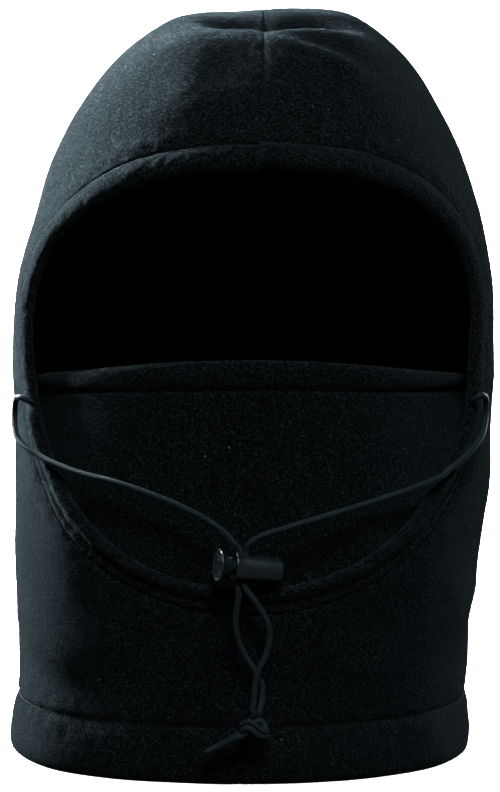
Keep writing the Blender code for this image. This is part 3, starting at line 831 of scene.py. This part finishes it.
def rounded_profile(corners, radius, steps=5):
    """The corners of an open profile, each rounded off with a short curve."""
    corners = [np.array(c, float) for c in corners]
    found = [corners[0]]
    for before, corner, after in zip(corners, corners[1:], corners[2:]):
        reach = min(radius, 0.45 * np.linalg.norm(before - corner), 0.45 * np.linalg.norm(after - corner))
        start = corner + reach * (before - corner) / np.linalg.norm(before - corner)
        end = corner + reach * (after - corner) / np.linalg.norm(after - corner)
        for t in np.linspace(0, 1, steps):
            found.append((1 - t) ** 2 * start + 2 * t * (1 - t) * corner + t**2 * end)
    return [tuple(point) for point in [*found, corners[-1]]]


def slot_cutter(middle, half_length, half_width):
    """A slot with round ends, along the cords' way through the lock."""
    rings = []
    for up in (-0.012, 0.012):
        ring = []
        for end in (1, -1):
            for step in range(17):
                a = math.pi * (step / 16 - 0.5)
                along = end * (half_length - half_width + half_width * math.cos(a))
                ring.append(in_lock(middle + along, up, end * half_width * math.sin(a)))
        rings.append(ring)
    rings = np.array(rings)
    around = rings.shape[1]
    faces = [tuple(f) for f in skin_faces(2, around, wrap_columns=True)]
    faces += [tuple(range(around)), tuple(range(around, 2 * around))]
    mesh = bpy.data.meshes.new("slot_cutter")
    mesh.from_pydata(rings.reshape(-1, 3).tolist(), [], faces)
    face_outwards(mesh)
    return linked("slot_cutter", mesh)


def cut(target, cutter):
    modifier = target.modifiers.new("slot", "BOOLEAN")
    modifier.operation = "DIFFERENCE"
    modifier.solver = "EXACT"
    modifier.object = cutter
    apply_modifier(target, "slot")
    bpy.data.objects.remove(cutter)
    target.data.shade_smooth()
    target.data.set_sharp_from_angle(angle=math.radians(32))


SPRING_TURNS = 7
SPRING_RADIUS = 0.0029
SPRING_ENDS = (-0.0156, -0.0046)
WIRE_RADIUS = 0.0003


def make_lock():
    """The barrel, the plunger with its dished button, and the coil spring behind it."""
    barrel = turned(
        "barrel",
        rounded_profile(
            (
                (-0.0175, 0.0), (-0.0175, 0.0052), (-0.0168, 0.0057), (-0.0100, 0.0060), (0.0010, 0.0062),
                (0.0030, 0.0064), (0.0044, 0.0068), (0.0054, 0.0074), (0.0060, 0.0073), (0.0058, 0.0058),
                (0.0034, 0.0054), (0.0034, 0.0040), (-0.0162, 0.0040), (-0.0162, 0.0),
            ),
            0.0006,
        ),
        PLASTIC_LOOK,
        body="cord_lock",
        replaces=("cord_lock_barrel",),
    )
    cut(barrel, slot_cutter(0, 0.0051, 0.0019))
    plunger = turned(
        "plunger",
        rounded_profile(
            (
                (-0.0040, 0.0), (-0.0040, 0.0036), (0.0066, 0.0036), (0.0066, 0.0042), (0.0088, 0.0047),
                (0.0111, 0.0058), (0.0125, 0.0071), (0.0131, 0.0077), (0.0135, 0.0074), (0.0130, 0.0062),
                (0.0127, 0.0030), (0.0126, 0.0),
            ),
            0.0005,
        ),
        PLASTIC_LOOK,
        body="plunger",
        replaces=("cord_lock_plunger",),
    )
    cut(plunger, slot_cutter(0.0031, 0.0045, 0.0017))
    start, end = SPRING_ENDS
    turn = 2 * math.pi * SPRING_TURNS * np.linspace(0, 1, SPRING_TURNS * 24 + 1)
    line = []
    for a in turn:
        up, across = SPRING_RADIUS * math.cos(a), SPRING_RADIUS * math.sin(a)
        line.append(in_lock(start + (end - start) * a / turn[-1], up, across))
    line = np.array(line)
    first, second, _ = frames_along(line)
    rings = line[:, None] + WIRE_RADIUS * circles(first, second, 10)
    facts = {"body": "cord_lock", "replaces": ("cord_lock_spring",), "slot": "spring_steel"}
    spring = loft("plunger_spring", rings, STEEL_LOOK, **facts)
    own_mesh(spring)
    return [barrel, plunger, spring]


runs = make_runs()
knot = make_knot(runs)
lock = make_lock()


# ---------------------------------------------------------------- the hood

RIM_ROWS = 190
NECK_ROWS = 34
CROWN_ROWS = 60
PANEL_TUCK = 0.0018  # how far the panel goes on under the casing's outer edge


def rim_tree():
    """A search tree of points on the middle of the rim, both sides."""
    points = np.vstack([rim_frame(even_turns(400, side), side)[0] for side in (-1, 1)])
    tree = KDTree(len(points))
    for i, point in enumerate(points):
        tree.insert(point, i)
    tree.balance()
    return tree


RIM_TREE = rim_tree()


def rim_distance(points):
    flat = points.reshape(-1, 3)
    return np.array([RIM_TREE.find(point)[2] for point in flat]).reshape(points.shape[:-1])


def panel_boundary(side):
    """(angles, heights) up the neck seam, round under the casing's edge and up the crown seam."""
    turn = even_turns(RIM_ROWS, side)
    point, _, _, away = rim_frame(turn, side)
    edge = point + (CASING_HALF_WIDTH - PANEL_TUCK) * away
    low = HEM_HEIGHT - 0.0016
    chin, brow = edge[0, 2], edge[-1, 2]
    neck = low + (chin - low) * np.arange(NECK_ROWS) / NECK_ROWS
    crown = brow + (CROWN - brow) * np.sin(math.pi / 2 * np.arange(1, CROWN_ROWS + 1) / CROWN_ROWS)
    angles = np.concatenate([0 * neck, angle_at(edge[:, 0], edge[:, 2]), 0 * crown])
    return angles, np.concatenate([neck, edge[:, 2], crown])


def back_heights(angles, heights):
    """Heights on the back seam at the same shares of its length as the boundary's points have of theirs."""
    lengths = lengths_along(hood(angles, heights))
    samples = np.linspace(heights[0], CROWN, 1200)
    along = lengths_along(hood(math.pi, samples))
    return np.interp(lengths / lengths[-1], along / along[-1], samples)


def column_shares():
    """Shares of the way from the front edge to the back seam, closer together at both ends."""
    front, middle = np.linspace(0, 0.04, 11), np.linspace(0.04, 0.975, 128)
    return np.concatenate([front[:-1], middle[:-1], np.linspace(0.975, 1, 9)])


def seam_gap(points):
    """How far points are from the centre seam."""
    return np.abs(points[..., 0] - section(points[..., 2])[3])


def panel_relief(points):
    """How far the panel's face stands off the smooth form: inwards at the seams and under the edges."""
    rim_gap = rim_distance(points)
    relief = -0.0015 * (1 - smoothstep(0.0044, 0.0082, rim_gap))
    relief += 0.0004 * bump(rim_gap, 0.0125, 0.0035)
    seam = seam_gap(points)
    relief -= 0.00035 * np.exp(-((seam / 0.0006) ** 2)) + 0.0001 * np.exp(-((seam / 0.003) ** 2))
    hem_gap = points[..., 2] - HEM_HEIGHT
    relief -= 0.0016 * (1 - smoothstep(-0.001, 0.0034, hem_gap))
    pucker = 0.00022 * waves(points, 0.009, 10, 11)
    near_edge = bump(hem_gap, 0.003, 0.006) + bump(rim_gap, 0.010, 0.005) + 0.7 * bump(seam, 0.002, 0.005)
    return relief + pucker * near_edge


def panel_settling(side, angles, heights, backs, shares):
    """How the panel settles between the seams, the casing and the hem that hold it."""
    rows, columns = 56, 36
    at = np.linspace(0, len(angles) - 1, rows)
    angles, heights, backs = (np.interp(at, np.arange(len(row)), row) for row in (angles, heights, backs))
    across = np.linspace(0, 1, columns)[None]
    angle = angles[:, None] + (side * math.pi - angles[:, None]) * across
    height = heights[:, None] + (backs[:, None] - heights[:, None]) * across
    held = np.zeros((rows, columns), bool)
    held[:1], held[-2:], held[:, :2], held[:, -2:] = True, True, True, True
    moved = settled(crumple(hood(angle, height)), held, 0.0030)
    row_shares = np.linspace(0, 1, RIM_ROWS + NECK_ROWS + CROWN_ROWS)
    return spread(spline_weights(row_shares, rows), spline_weights(shares, columns), moved)


def make_panel(side, word):
    angles, heights = panel_boundary(side)
    backs = back_heights(angles, heights)
    lie = panel_settling(side, angles, heights, backs, column_shares())
    share = column_shares()[None]
    angle = angles[:, None] + (side * math.pi - angles[:, None]) * share
    height = heights[:, None] + (backs[:, None] - heights[:, None]) * share
    face = hood(angle, height)
    out = hood_normal(angle, height)
    outer = face + panel_relief(face)[..., None] * out
    seam = seam_gap(face)
    inner_relief = -0.0012 * np.exp(-((seam / 0.0045) ** 2)) + 0.0014 * np.exp(-((seam / 0.0009) ** 2))
    inner = face + (inner_relief - FLEECE)[..., None] * out
    for grid in (outer, inner):
        grid[...] = crumple(grid) + lie
        grid[..., 0] -= side * SEAM_LAP
    return slab(f"hood_fleece_{word}", outer, inner, FLEECE_LOOK, replaces=(f"hood_panel_{word}",))


CASING_STATIONS = 300


def casing_profile(chin):
    """The casing's cross-section as (away, out) points: a soft roll, with a flat band near the chin."""
    # Away from the opening, height of the face at the brow, height of the face near the chin.
    face = (
        (0.0072, -0.0021, -0.0018),
        (0.0066, -0.0006, -0.0009),
        (0.0058, 0.0006, 0.0000),
        (0.0046, 0.0013, 0.0004),
        (0.0032, 0.0019, 0.0005),
        (0.0018, 0.0023, 0.0002),
        (0.0006, 0.0025, 0.0009),
        (-0.0010, 0.0025, 0.0019),
        (-0.0026, 0.0022, 0.0024),
        (-0.0042, 0.0015, 0.0019),
        (-0.0055, 0.0003, 0.0006),
        (-0.0063, -0.0010, -0.0010),
        (-0.0060, -0.0024, -0.0024),
        (-0.0046, -0.0033, -0.0033),
        (-0.0020, -0.0036, -0.0036),
        (0.0010, -0.0035, -0.0035),
        (0.0040, -0.0034, -0.0034),
        (0.0064, -0.0031, -0.0031),
        (0.0072, -0.0026, -0.0026),
    )
    face = np.array(face)
    out = face[None, :, 1] * (1 - chin[:, None]) + face[None, :, 2] * chin[:, None]
    away = np.broadcast_to(face[None, :, 0], out.shape)
    return np.stack([away, out], axis=-1)


def smooth_rings(corners, steps):
    """Each ring of corners as a closed smooth curve."""
    t = (np.arange(steps) / steps)[None, None, :, None]
    a, b, c, d = (np.roll(corners, shift, axis=1)[:, :, None] for shift in (1, 0, -1, -2))
    return between(a, b, c, d, t).reshape(corners.shape[0], -1, corners.shape[-1])


def exit_turn():
    drop = (OPENING_MIDDLE - EXIT_HEIGHT) / CHIN_DROP
    return math.acos(drop ** (CHIN_SQUARENESS / 2))


def make_casing(side, word):
    turn = even_turns(CASING_STATIONS, side)
    point, out, _, away = rim_frame(turn, side)
    chin = 1 - smoothstep(math.radians(48), math.radians(100), turn)
    ring = smooth_rings(casing_profile(chin), 3)
    along = lengths_along(point)
    exit_at = np.interp(exit_turn(), turn, along)
    squeeze = 1 - 0.22 * bump(along, exit_at - 0.001, 0.0035)
    uneven = 1 + 0.05 * waves(point, 0.030, 8, 21 + side) + 0.025 * waves(point, 0.010, 8, 23)
    brow_end = smoothstep(along[-1] - 0.030, along[-1], along)
    scale = (squeeze * uneven * (1 + (0.14 if side > 0 else -0.06) * brow_end))[:, None]
    shift = ((0.0009 if side > 0 else -0.0005) * brow_end)[:, None]
    ends = np.minimum(along, along[-1] - along)[:, None]
    close = 1 - 0.28 * np.exp(-((ends / 0.0012) ** 2))
    far, high = ring[..., 0] * (0.97 + 0.03 * scale) + shift, ring[..., 1]
    high = np.where(high > -0.001, -0.001 + (high + 0.001) * scale * close, high)
    rings = point[:, None] + far[..., None] * away[:, None] + high[..., None] * out[:, None]
    rings += (0.00012 * waves(rings, 0.006, 14, 31))[..., None] * out[:, None]
    rings = crumple(rings)
    rings[..., 0] -= side * SEAM_LAP
    return loft(f"casing_fleece_{word}", rings, FLEECE_LOOK, sharp=70, replaces=(f"face_casing_{word}",))


HEM_FACE = (
    (-0.0020, 0.0282),
    (-0.0010, 0.0270),
    (0.0002, 0.0250),
    (0.0012, 0.0210),
    (0.0017, 0.0150),
    (0.0016, 0.0090),
    (0.0010, 0.0040),
    (0.0000, 0.0012),
    (-0.0014, 0.0001),
    (-0.0032, 0.0002),
    (-0.0046, 0.0014),
    (-0.0054, 0.0050),
    (-0.0055, 0.0120),
    (-0.0052, 0.0200),
    (-0.0048, 0.0262),
    (-0.0040, 0.0280),
    (-0.0028, 0.0286),
)


def make_hem(side, word):
    """Half of the neck edge, turned up to the inside and sewn."""
    angle = side * np.linspace(0, math.pi, 260)
    corners = np.broadcast_to(np.array(HEM_FACE)[None], (len(angle), len(HEM_FACE), 2))
    ring = smooth_rings(corners, 3)
    height = np.maximum(ring[..., 1], 0)
    face = hood(angle[:, None], height)
    out = hood_normal(angle, 0.013) * np.array([1.0, 1.0, 0.0])
    out = unit(out)[:, None]
    off = ring[..., 0] + 0.00025 * waves(face, 0.010, 10, 41) * bump(height, 0.022, 0.006)
    off = off - 0.0005 * np.exp(-((seam_gap(face) / 0.0008) ** 2)) * (ring[..., 0] > -0.002)
    rings = crumple(face + off[..., None] * out)
    rings[..., 2] = np.where(height < 0.004, height, rings[..., 2])
    rings[..., 0] -= side * SEAM_LAP
    return loft(f"hem_fleece_{word}", rings, FLEECE_LOOK, sharp=70, replaces=(f"neck_hem_{word}",))


THREAD_SIDES = 8
THREAD_STATIONS = 9
THREAD_RISE = 0.00034  # of the middle of a stitch over its ends
THREAD_DIP = 0.00030


def stitches(name, line, outs, look, nodes, body="hood", pitch=0.0029, gap=0.0007, radius=0.00026):
    """A row of lockstitches: short threads that dip into the cloth at both ends."""
    lengths = lengths_along(line)
    count = int(lengths[-1] / pitch)
    local = np.linspace(0, 1, THREAD_STATIONS)
    points, faces = [], []
    for i in range(count):
        at = (i + 0.5) * lengths[-1] / count + (local - 0.5) * (pitch - gap)
        middle, out = interpolated(at, lengths, line), unit(interpolated(at, lengths, outs))
        arch = np.sin(math.pi * local)
        middle = middle + (THREAD_RISE * arch - THREAD_DIP)[:, None] * out
        tangent = unit(np.gradient(middle, axis=0))
        side = np.cross(tangent, out)
        size = radius * (0.35 + 0.65 * arch**0.5)
        ring = middle[:, None] + size[:, None, None] * circles(side, out, THREAD_SIDES)
        start = len(points) * ring.shape[0] * ring.shape[1]
        last = start + THREAD_SIDES * (THREAD_STATIONS - 1)
        faces += [tuple(f) for f in skin_faces(THREAD_STATIONS, THREAD_SIDES, wrap_columns=True) + start]
        faces += [tuple(end + k for k in range(THREAD_SIDES)) for end in (start, last)]
        points.append(ring)
    return piece(name, np.array(points), faces, look, body=body, replaces=nodes, slot="sewing_thread")


def surface_row(angle, z, out):
    """Points this far off the crumpled hood, and the directions out of it."""
    normal = hood_normal(angle, z)
    return crumple(hood(angle, z) + np.asarray(out)[..., None] * normal), normal


def make_hood_stitches():
    for side, word in ((-1, "left"), (1, "right")):
        turn = even_turns(600, side)[6:-6]
        point, out, _, away = rim_frame(turn, side)
        line = crumple(point + 0.0069 * away - 0.0010 * out)
        stitches(f"casing_stitches_{word}", line, out, THREAD_LOOK, (f"casing_stitch_{word}",))
    angle = np.linspace(0.004, 2 * math.pi - 0.004, 900)
    line, out = surface_row(angle, np.full_like(angle, HEM_HEIGHT + 0.0004), np.full_like(angle, -0.0010))
    stitches("hem_stitches", line, out, THREAD_LOOK, ("hem_stitch",))
    edge = rim_frame(np.array([0.0, math.pi]), 1)
    chin, brow = (edge[0] + CASING_HALF_WIDTH * edge[3])[:, 2]
    deep = -(FLEECE + 0.0009)
    z = np.linspace(HEM_HEIGHT + 0.004, chin - 0.004, 80)
    line, out = surface_row(0 * z, z, 0 * z + deep)
    stitches("neck_seam_stitches", line, -out, THREAD_LOOK, ("neck_seam_thread",))
    rise = brow + 0.004 + (CROWN - brow - 0.004) * np.sin(np.linspace(0, math.pi / 2, 120))
    fall = HEM_HEIGHT + 0.004 + (CROWN - HEM_HEIGHT - 0.004) * np.cos(np.linspace(0, math.pi / 2, 500))[1:]
    z = np.concatenate([rise, fall])
    line, out = surface_row(np.concatenate([0 * rise, 0 * fall + math.pi]), z, 0 * z + deep)
    stitches("crown_seam_stitches", line, -out, THREAD_LOOK, ("crown_seam_thread",))


# ---------------------------------------------------------------- the mask


def mask_face(x, z, out):
    """Points this far in front of the mask's face, whose plan is the same at every height."""
    x, z, out = np.broadcast_arrays(x, z, out)
    share = np.clip(np.abs(x) / MASK_HALF_WIDTH, 0, 0.9999)
    y = -MASK_DEPTH * (1 - share**SQUARENESS) ** (1 / SQUARENESS)
    slope = np.stack(
        [
            signed_power(x, SQUARENESS - 1) / MASK_HALF_WIDTH**SQUARENESS,
            -(np.abs(y) ** (SQUARENESS - 1)) / MASK_DEPTH**SQUARENESS,
            0 * x,
        ],
        axis=-1,
    )
    return np.stack([x + MASK_CENTRE, y, z], axis=-1) + out[..., None] * unit(slope)


def mask_top(x):
    return MASK_TOP - MASK_TOP_DROP * (x / MASK_REACH) ** 2


def mask_line(x):
    """The row of stitches under the mask's hem, which is straighter than its top edge."""
    return MASK_TOP - MASK_HEM - MASK_LINE_DROP * (x / MASK_REACH) ** 2


def mask_low(x):
    share = np.minimum(np.abs(x) / OPENING_HALF_WIDTH, 1)
    return OPENING_MIDDLE - CHIN_DROP * (1 - share**CHIN_SQUARENESS) ** (1 / CHIN_SQUARENESS) - MASK_TUCK


def mask_columns(count):
    """Places across the mask, closer together towards its ends."""
    return MASK_REACH * np.sin(math.pi * (np.arange(count) / (count - 1) - 0.5))


def drape(points):
    """The mask's soft, uneven face."""
    rise = 0.0007 * waves(points, 0.060, 9, 51) + 0.00008 * waves(points, 0.0045, 20, 53)
    right_pull = bump(points[..., 0], 0.100, 0.008) * bump(points[..., 2], 0.178, 0.007)
    left_pull = bump(points[..., 0], -0.101, 0.008) * bump(points[..., 2], 0.181, 0.006)
    rise = rise - 0.0022 * right_pull - 0.0012 * left_pull
    start, line = np.array([0.1045, 0.1860]), np.array([-0.0130, -0.0230])
    place = points[..., [0, 2]] - start
    share = np.clip((place @ line) / (line @ line), 0, 1)
    gap = np.linalg.norm(place - share[..., None] * line, axis=-1)
    rise = rise - 0.0042 * np.exp(-((gap / 0.0032) ** 2)) * (1 - 0.8 * share)
    moved = points.copy()
    moved[..., 1] -= rise
    return moved


def mask_settling():
    """A function that gives how the mask settles, at shares of its height and of its columns."""
    rows, columns = 26, 44
    x = mask_columns(columns)[None]
    low, high = mask_low(x), mask_top(x)
    held = np.zeros((rows, columns), bool)
    held[:2], held[:, :1], held[:, -1:] = True, True, True
    z = low + (high - low) * np.linspace(0, 1, rows)[:, None]
    moved = settled(drape(mask_face(x, z, 0.0)), held, 0.0008)

    def at(row_shares, column_count):
        across = spline_weights(np.linspace(0, 1, column_count), columns)
        return spread(spline_weights(row_shares, rows), across, moved)

    return at


def make_mask():
    lie = mask_settling()
    x = mask_columns(170)[None]
    low, high = mask_low(x), mask_line(x) + 0.0010
    share = np.linspace(0, 1, 84)[:, None]
    z = low + (high - low) * share
    gap = high - z
    pucker = 0.00018 * waves(mask_face(x, z, 0.0), 0.009, 8, 55)
    relief = -0.0013 * (1 - smoothstep(0.0, 0.0036, gap)) + pucker * bump(gap, 0.004, 0.006)
    down = lie(share[:, 0] * 0.88, 170)
    outer = drape(mask_face(x, z, relief)) + down
    inner = drape(mask_face(x, z, -FLEECE + 0 * relief)) + down
    panel = slab("mask_fleece", outer, inner, FLEECE_LOOK, body="mask", replaces=("mask_panel",))
    x = mask_columns(240)
    # In front of the mask's face, and share of the hem's width below its fold.
    corners = np.array(
        (
            (-0.0012, -1.06), (0.0001, -0.94), (0.0012, -0.74), (0.0016, -0.48),
            (0.0014, -0.22), (0.0006, -0.05), (-0.0010, 0.015), (-0.0026, -0.04),
            (-0.0036, -0.22), (-0.0038, -0.5), (-0.0034, -0.8), (-0.0028, -1.0),
        )
    )
    ring = smooth_rings(np.broadcast_to(corners[None], (len(x), len(corners), 2)), 4)
    ends = np.clip((MASK_REACH - np.abs(x)) / 0.010, 0, 1)
    corner = (1 - np.sqrt(1 - (1 - ends) ** 2))[:, None] * 0.0040
    width = (mask_top(x) - mask_line(x))[:, None]
    z = mask_top(x)[:, None] + ring[..., 1] * width - corner * (ring[..., 1] + 1)
    rings = drape(mask_face(x[:, None], z, ring[..., 0])) + lie(np.array([0.94]), 240)[0][:, None]
    hem = loft("mask_hem_fleece", rings, FLEECE_LOOK, body="mask", replaces=("mask_top_hem",))
    down = lie(np.array([0.88]), 600)[0][8:-8]
    x = mask_columns(600)[8:-8]
    z = mask_line(x) + 0.0002
    line = drape(mask_face(x, z, -0.0004 + 0 * x)) + down
    outs = mask_face(x, z, 0.001 + 0 * x) - mask_face(x, z, 0 * x)
    thread = stitches("mask_hem_stitches", line, outs, THREAD_LOOK, ("mask_hem_stitch",), body="mask")
    return panel, hem, thread


# ---------------------------------------------------------------- build it


for side, word in ((-1, "left"), (1, "right")):
    panel = make_panel(side, word)
    edges = [make_casing(side, word), make_hem(side, word)]
make_hood_stitches()
panel, *edges = make_mask()
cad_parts["elastic_in_casing"].data.materials.clear()
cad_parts["elastic_in_casing"].data.materials.append(CORD_LOOK)


# ---------------------------------------------------------------- floor and light


def stage_mesh(name, points, faces, look):
    mesh = bpy.data.meshes.new(name)
    mesh.from_pydata(points, [], faces)
    mesh.shade_smooth()
    mesh.materials.append(look)
    made = linked(name, mesh)
    return made


def make_sweep():
    """A pale floor that curves up into a backdrop far behind. Only the camera sees it: it lights nothing."""
    look, tree, shader, place = base_material("pale_sweep", 0.9)
    set_values(shader, Base_Color=(0.86, 0.86, 0.86, 1), Emission_Color=(1, 1, 1, 1), Emission_Strength=0.85)
    grain = noise(tree, place, 40, 3.0, 0.5)
    bumped(tree, shader, ((grain, 0.0003, 0.2),))
    line = [(-6.0, 0.0), (2.0, 0.0)]
    line += [(2.0 + 1.2 * math.sin(a), 1.2 * (1 - math.cos(a))) for a in np.linspace(0.1, math.pi / 2, 14)]
    line += [(3.2, 6.0)]
    points = [(x, y, z) for y, z in line for x in (-6.0, 6.0)]
    faces = [(2 * i, 2 * i + 1, 2 * i + 3, 2 * i + 2) for i in range(len(line) - 1)]
    sweep = stage_mesh("sweep", points, faces, look)
    sweep.visible_diffuse = sweep.visible_glossy = False


def area_light(name, place, aim, size, power, spread=180):
    data = bpy.data.lights.new(name, "AREA")
    data.shape = "RECTANGLE"
    data.size, data.size_y = size
    data.energy = power
    data.spread = math.radians(spread)
    made = linked(name, data)
    made.location = place
    made.rotation_euler = (Vector(aim) - Vector(place)).to_track_quat("-Z", "Y").to_euler()


def make_light():
    world = bpy.data.worlds.new("studio")
    bpy.context.scene.world = world
    world.use_nodes = True
    background = world.node_tree.nodes["Background"]
    background.inputs["Color"].default_value = (1, 1, 1, 1)
    background.inputs["Strength"].default_value = 0.14
    area_light("key_left", (-1.35, 1.20, 1.25), (0, 0, 0.28), (1.0, 1.0), 850)
    area_light("grid_left", (-1.20, 0.60, 0.85), (-0.07, -0.03, 0.38), (0.25, 0.25), 19, spread=24)
    area_light("rim_right", (1.45, 1.3, 0.6), (0, 0, 0.18), (1.0, 1.2), 130)
    area_light("fill_top", (0.25, -1.45, 1.95), (0, 0, 0.25), (0.7, 0.7), 80)
    bpy.context.scene.view_settings.view_transform = "Standard"


make_sweep()
make_light()
